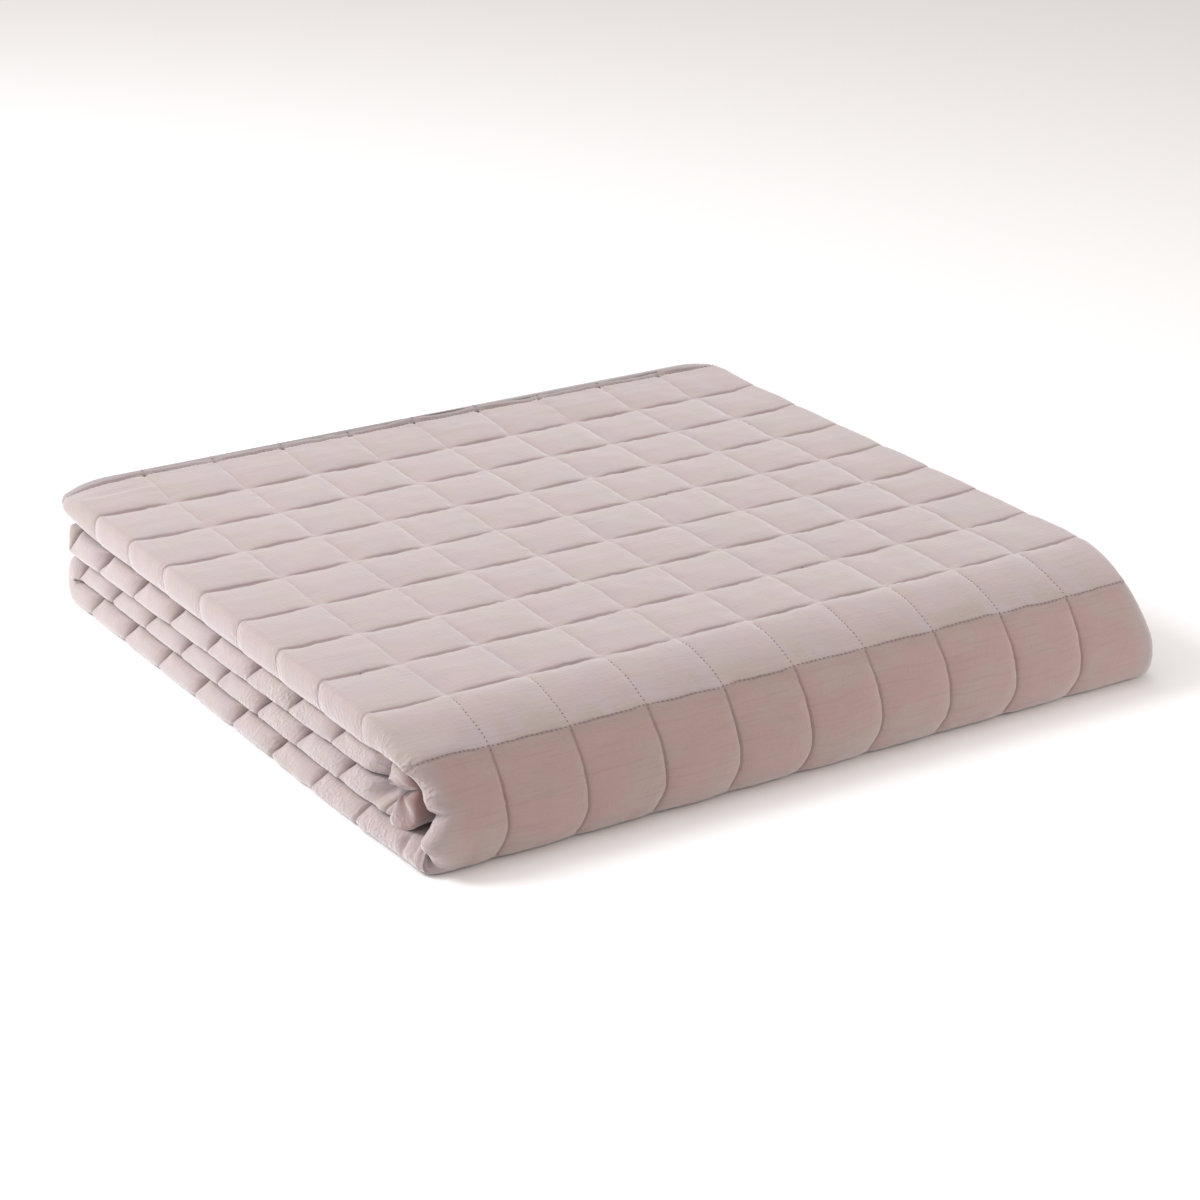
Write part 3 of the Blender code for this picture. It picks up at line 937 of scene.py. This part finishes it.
    def _grid(self, columns: Array, rows: Array, skin: Skin) -> bmesh.types.BMesh:
        """A flat grid of one skin, in line numbers, with long faces where only its hems show."""
        mesh = bmesh.new()
        last_column, last_row = len(columns) - 1, len(rows) - 1
        bmesh.ops.create_grid(mesh, x_segments=last_column, y_segments=last_row, size=0.5)
        level = float(skin.value)
        showing = [self._showing(s) for s in rows]
        spare = []
        for vertex in mesh.verts:
            column = round((vertex.co.x + 0.5) * last_column)
            row = round((vertex.co.y + 0.5) * last_row)
            rim = column in (0, last_column) or row in (0, last_row)
            vertex.co = (column, row, 0.0 if rim else level)
        keep = self.hem_lines + self.hem_kept
        for edge in mesh.edges:
            (column, row, _), (other_column, other_row, _) = (vertex.co for vertex in edge.verts)
            if column != other_column or not keep < column < last_column - keep:
                continue
            pair = {showing[int(row)], showing[int(other_row)]}
            hidden = Showing.TOP not in pair or skin is Skin.INNER
            halved = skin is Skin.OUTER and pair == {Showing.UNDERSIDE}
            if hidden and not (halved and int(column) % 2 == 0):
                spare.append(edge)
        bmesh.ops.dissolve_edges(mesh, edges=spare, use_verts=True)
        if skin is Skin.OUTER:  # the sheet runs to the front, which turns the grid over
            bmesh.ops.reverse_faces(mesh, faces=mesh.faces[:])
        return mesh

    def _flat_sheet(self, columns: Array, rows: Array) -> bpy.types.Mesh:
        """Both skins as one closed flat mesh in line numbers."""
        both = bmesh.new()
        for skin in Skin:
            half = to_data(self._grid(columns, rows, skin), "skin")
            both.from_mesh(half)
            bpy.data.meshes.remove(half)
        rim = [vertex for vertex in both.verts if vertex.co.z == 0.0]
        bmesh.ops.remove_doubles(both, verts=rim, dist=0.01)
        ends = ((0, len(columns) - 1), (0, len(rows) - 1))
        corners = [
            vertex
            for vertex in both.verts
            if round(vertex.co.x) in ends[0] and round(vertex.co.y) in ends[1]
        ]
        bmesh.ops.dissolve_verts(both, verts=corners)  # else both skins share a triangle there
        return to_data(both, self.name)

    def _places(self, columns: Array, rows: Array, skin: Skin) -> tuple[Array, Array]:
        """The u and s of every crossing of lines. They are closer where a hem is tighter."""
        u, s = np.meshgrid(columns, rows)
        reach = self.path.at(s)["outer_round" if skin is Skin.OUTER else "inner_round"]
        u = np.where(u < 0.0, reach * (1.0 + u), u)
        past = u - self.width
        u = np.where(past > 0.0, self.width - reach * (1.0 - past), u)
        s = np.where(s < 0.0, self.edge_round * (1.0 + s), s)
        past = s - self.path.end
        s = np.where(past > 0.0, self.path.end - self.edge_round * (1.0 - past), s)
        return u, s

    def _cloth_map(self, points: Array) -> Array:
        """Cloth coordinates from arc lengths across and along a skin, in mm."""
        across = np.linalg.norm(np.diff(points, axis=1), axis=2)
        across = np.concatenate([np.zeros((len(points), 1)), np.cumsum(across, axis=1)], axis=1)
        along = np.linalg.norm(np.diff(points, axis=0), axis=2)
        middle = along[:, along.shape[1] // 2]
        along = np.broadcast_to(middle[:, None], along.shape)
        along = np.concatenate([np.zeros((1, points.shape[1])), np.cumsum(along, axis=0)], axis=0)
        return np.stack([across, along], axis=-1)

    def _painted_seam_shade(self, u: Array, s: Array) -> Array:
        """How strong the painted shade at the bottom of a stitch line is, from 0 to 1."""
        off_u = self._from_column(u)
        off_s = self._along(s, off_u)[0]
        cross = bell(off_s, self.seam_shade_breadth) * (1.0 - bell(off_u, self.crossing))
        lengthwise = bell(off_u, self.seam_shade_breadth) * (s > self.path.start_of("lip"))
        return np.maximum(cross, lengthwise)

    def _marks(self, u: Array, s: Array) -> dict[str, Array]:
        """Where the cotton is paler, gathered, and painted in shade on the rolled rear edge, behind
        the front ridge and in the inner fold, from 0 to 1.

        Args:
            u: distances across the sheet.
            s: distances along it.

        Returns:
            The strength of each mark by its name.
        """
        path, row, ridge = self.path, self.path.at(s), self.path.start_of("lip")
        side = np.minimum(u, self.width - u)
        inner_fold_shade = self._inner_fold_shade(s)
        gathered = bell(side, self.gather_tone) * row["gather"] / path.STRIP_HEM.gather
        gathered = gathered * (0.1 + 0.9 * smooth_step(-200.0, -330.0, row["y"]))
        off_s = self._along(s, self._from_column(u))[0]
        on_top = (s < ridge) * smooth_step(-30.0, -120.0, row["y"])
        gathered = gathered + on_top * np.exp(-((off_s / 5.0) ** 2) - (side / 8.0) ** 2)
        gathered = gathered * (0.5 + 0.5 * noise(s / 12.0, u / 9.0, 41))
        # the hems' sides are paler, partly as painted light
        pale = (1.0 - smooth_step(5.0, 14.0, side)) * (1.0 - inner_fold_shade)
        # painted shade just behind the front ridge
        ridge_shade = bell(ridge - s, self.ridge_shade_reach) * smooth_step(-14.0, 0.0, ridge - s)
        return {
            "faded_and_lit": np.maximum(self._faded_and_lit(s), pale),
            # the turned mark is painted shade on the rolled rear edge
            "turned": 1.0 - smooth_step(path.edge_seam - 1.5, path.edge_seam + 0.5, s),
            "gathered": gathered * (1.0 - 0.8 * inner_fold_shade),
            "ridge_shade": ridge_shade * smooth_step(4.0, 30.0, side),
            # painted shade in the fold inside the front roll
            "inner_fold_shade": 0.7 * inner_fold_shade,
        }

    def build(self) -> bpy.types.Object:
        """Builds the closed sheet.

        Returns:
            The mesh object, in metres, with its cloth map and the marks that its cotton reads.
        """
        quarter = [90.0 * count / self.hem_lines for count in range(self.hem_lines + 1)]
        hem = [-math.cos(math.radians(angle)) for angle in quarter]  # shares of a hem's rounding
        hem[-1] = -1e-9  # just short of its end
        far_hem = hem[::-1]
        columns = [*hem, *self._column_lines(), *(self.width - step for step in far_hem)]
        rows = [*hem, *self._row_lines(), *(self.path.end - step for step in far_hem)]
        columns, rows = np.array(columns), np.array(rows)
        data = self._flat_sheet(columns, rows)
        count = len(data.vertices)
        flat = np.empty(count * 3, np.float32)
        data.vertices.foreach_get("co", flat)
        flat = flat.reshape(-1, 3)
        column, row = np.rint(flat[:, 0]).astype(int), np.rint(flat[:, 1]).astype(int)
        inner = flat[:, 2] < 0
        cloth = {skin: self._places(columns, rows, skin) for skin in Skin}
        placed = {skin: self.points(*cloth[skin], skin) for skin in Skin}
        # how strongly each skin is painted in shade along its stitch lines
        valleys = {skin: self._painted_seam_shade(*cloth[skin]) for skin in Skin}

        def chosen(found: dict[Skin, Array], inside: Array) -> Array:
            """What each point has on its own skin."""
            return np.where(inside, found[Skin.INNER][row, column], found[Skin.OUTER][row, column])

        points = chosen(placed, inner[:, None])
        points[:, :2] -= np.array(self.middle)
        points[:, 2] = np.maximum(points[:, 2], 0.0)
        data.vertices.foreach_set("co", (points * TO_METRES).astype(np.float32).ravel())
        maps = {skin: self._cloth_map(placed[skin]) for skin in Skin}
        self._write_map(data, column, row, inner, maps)
        # the valley mark is painted shade along the stitch lines
        marks = {"valley": chosen(valleys, inner)}
        marks |= self._marks(*(lines[row, column] for lines in cloth[Skin.OUTER]))
        for name, values in marks.items():
            layer = data.attributes.new(name, "FLOAT", "POINT")
            layer.data.foreach_set("value", values.astype(np.float32))
        data.shade_smooth()
        data.update()
        LOG.info("%s: %d points, %d faces", self.name, count, len(data.polygons))
        return add_object(self.name, data)

    def _faded_and_lit(self, s: Array) -> Array:
        """How pale the cloth is along the sheet, most on the lit top and least round the shaded
        front roll: partly cloth tone, partly painted light and shade.
        """
        ridge, foot = self.path.start_of("lip"), self.path.start_of("front pads")
        behind_foot = smooth_step(foot, foot + self.rose_fade, s)
        rose = smooth_step(ridge - 2.0, ridge + 4.0, s) * (1.0 - behind_foot)
        strips = 0.3 * behind_foot
        return 1.0 - np.maximum(np.maximum(rose, strips), self._inner_fold_shade(s))

    def _inner_fold_shade(self, s: Array) -> Array:
        """How near a place is to the fold inside the front roll, from 0 to 1: there the cloth is
        painted in shade.
        """
        off = s - self.path.start_of("inner fold") - self.path.fold_reach / 2
        return bell(off, self.inner_fold_shade_reach, 4)

    def _write_map(
        self, data: bpy.types.Mesh, column: Array, row: Array, inner: Array, maps: dict[Skin, Array]
    ) -> None:
        """Writes the cloth map, on which the inner skin unrolls past the left hem."""
        corners = np.empty(len(data.loops), np.int32)
        data.loops.foreach_get("vertex_index", corners)
        totals = np.empty(len(data.polygons), np.int32)
        data.polygons.foreach_get("loop_total", totals)
        face = np.repeat(np.arange(len(totals)), totals)
        below = np.zeros(len(totals), bool)
        np.logical_or.at(below, face, inner[corners])
        inside = below[face]
        outer_map = maps[Skin.OUTER][row[corners], column[corners]]
        inner_map = maps[Skin.INNER][row[corners], column[corners]] * np.array([-1.0, 1.0])
        cloth = np.where(inside[:, None], inner_map, outer_map) / MAP_UNIT + np.array([0.5, 0.02])
        layer = data.uv_layers.new(name="cloth")
        layer.data.foreach_set("uv", cloth.astype(np.float32).ravel())

    def dress(self, piece: bpy.types.Object) -> None:
        """Gives the sheet its cotton."""
        piece.data.materials.append(WovenCotton().make())


# ---- Stitching ----


@dataclass
class Stitching:
    """The sewn lines that show: small beads of thread sunk in the valleys of the cover."""

    cover: QuiltedCover
    name: str = "stitching"
    pitch: float = 3.0
    length: float = 1.3
    breadth: float = 0.8
    height: float = 0.5
    sunk: float = -0.5  # height of its middle over the cloth, in a valley
    bare: float = 0.15  # the same where it shows whole
    probe: float = 0.4  # how far off the cloth's slope is read

    def _line(self, u: Array, s: Array) -> tuple[Array, Array, Array]:
        """Places, directions and outward normals of the stitches of one line."""
        outer = Skin.OUTER
        place = self.cover.points(u, s, outer)
        du, ds = np.gradient(u), np.gradient(s)
        scale = self.probe / np.maximum(np.hypot(du, ds), 1e-6)
        ahead = self.cover.points(u + du * scale, s + ds * scale, outer) - place
        aside = self.cover.points(u - ds * scale, s + du * scale, outer) - place
        ahead /= np.linalg.norm(ahead, axis=1, keepdims=True)
        normal = np.cross(aside, ahead)
        normal /= np.linalg.norm(normal, axis=1, keepdims=True)
        return place, ahead, normal

    def _lift(self, s: Array) -> Array:
        """How high the stitches lie: sunk in the full squares' valleys, bare on the front row."""
        path = self.cover.path
        front, ridge = path.start_of("shoulder"), path.start_of("lip")
        bare = smooth_step(front - 1.0, front + 12.0, s)
        bare = bare * (1.0 - smooth_step(ridge + 1.0, ridge + 6.0, s))
        bare = np.maximum(bare, s < path.edge_seam + 1.0)
        return self.sunk + (self.bare - self.sunk) * bare

    def _lines(self) -> list[tuple[Array, Array]]:
        """The u and s of the stitches of every line that shows."""
        path, width = self.cover.path, self.cover.width
        top_end = path.start_of("front pads")
        run = np.arange(5.0, top_end - 1.0, self.pitch)
        side = np.arange(4.0, width - 3.0, self.pitch)
        columns = [count * path.pitch for count in range(1, self.cover.columns)]
        lines = [(np.full_like(run, column), run) for column in columns]
        lines += [(side, np.full_like(side, seam)) for seam in path.seams if seam < top_end]
        return lines

    def build(self) -> bpy.types.Object:
        """Builds the stitches as one mesh.

        Returns:
            The mesh object, in metres.
        """
        whole = bmesh.new()
        middle = np.array([*self.cover.middle, 0.0])
        for u, s in self._lines():
            mesh = bmesh.new()
            for place, ahead, normal, lift in zip(*self._line(u, s), self._lift(s)):
                aside = np.cross(normal, ahead)
                turned = Matrix(np.stack([ahead, aside, normal], axis=1).tolist()).to_4x4()
                turned.translation = (place - middle + normal * lift) * TO_METRES
                size = np.array([self.length, self.breadth, self.height]) / 2 * TO_METRES
                turned = turned @ Matrix.Diagonal((*size, 1.0))
                bmesh.ops.create_icosphere(mesh, subdivisions=1, radius=1.0, matrix=turned)
            line = to_data(mesh, "line")
            whole.from_mesh(line)
            bpy.data.meshes.remove(line)
        data = to_data(whole, self.name)
        data.shade_smooth()
        LOG.info("%s: %d points", self.name, len(data.vertices))
        return add_object(self.name, data)

    def dress(self, piece: bpy.types.Object) -> None:
        """Gives the stitches their thread."""
        piece.data.materials.append(SpunThread().make())


# ---- Studio ----


@dataclass
class Studio:
    """A plain pale floor, soft lights and the camera at the photograph's angle."""

    floor_size: float = 12.0
    camera_place: tuple[float, float, float] = (-0.90711, -1.43272, 0.72653)
    camera_turn: tuple[float, float, float] = (67.5409, -0.3534, -32.3514)
    lens: float = 87.291
    sensor: float = 36.0
    sky: float = 0.57
    sky_colour: str = "fff7f2"

    def floor(self) -> None:
        """Lays the paper that the blanket stands on."""
        mesh = bmesh.new()
        bmesh.ops.create_grid(mesh, x_segments=4, y_segments=4, size=self.floor_size / 2)
        data = to_data(mesh, "floor")
        data.materials.append(PaperSweep().make())
        add_object("floor", data)

    def _light(
        self, name: str, place: tuple[float, float, float], size: float, power: float, colour: str
    ) -> None:
        """Adds a square soft light that faces the blanket."""
        data = bpy.data.lights.new(name, "AREA")
        data.shape, data.size, data.energy = "SQUARE", size, power
        data.color = linear(colour)[:3]
        lamp = add_object(name, data)
        lamp.location = place
        lamp.rotation_mode = "QUATERNION"
        lamp.rotation_quaternion = (-lamp.location).to_track_quat("-Z", "Y")

    def lights(self) -> None:
        """A soft key from the upper back left, and the pale surround of a light tent."""
        self._light("key", (-1.55, 1.0, 1.6), 0.9, 42.0, "fbfcff")
        self._light("top", (-0.3, 0.3, 2.2), 2.2, 15.0, "fbfcff")
        self._light("fill", (0.9, -0.88, 0.4), 0.6, 3.5, "fffdfb")
        self._light("low", (-1.5, -0.1, 0.3), 0.6, 2.7, "fbfcff")
        world = bpy.data.worlds.new("tent")
        world.use_nodes = True
        surround = world.node_tree.nodes["Background"]
        surround.inputs["Color"].default_value = linear(self.sky_colour)
        surround.inputs["Strength"].default_value = self.sky
        bpy.context.scene.world = world

    def camera(self) -> None:
        """Sets the camera where the photograph was taken from."""
        data = bpy.data.cameras.new("camera")
        data.lens, data.sensor_width = self.lens, self.sensor
        camera = add_object("camera", data)
        camera.location = self.camera_place
        camera.rotation_euler = [math.radians(angle) for angle in self.camera_turn]
        bpy.context.scene.camera = camera

    def build(self) -> None:
        """Sets up the whole studio."""
        self.camera()
        self.floor()
        self.lights()
        bpy.context.scene.view_settings.view_transform = "Standard"


def main() -> None:
    """Builds the studio and the blanket in order, and puts both pieces under the root body."""
    logging.basicConfig(level=logging.INFO, format="%(message)s")
    Studio().build()
    LOG.info("studio ready")
    cover = QuiltedCover()
    sheet = cover.build()
    cover.dress(sheet)
    stitching = Stitching(cover)
    stitches = stitching.build()
    stitching.dress(stitches)
    for piece in (sheet, stitches):
        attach(piece, "root")
    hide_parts("quilted_blanket")
    bpy.context.view_layer.update()


if __name__ == "__main__":
    main()
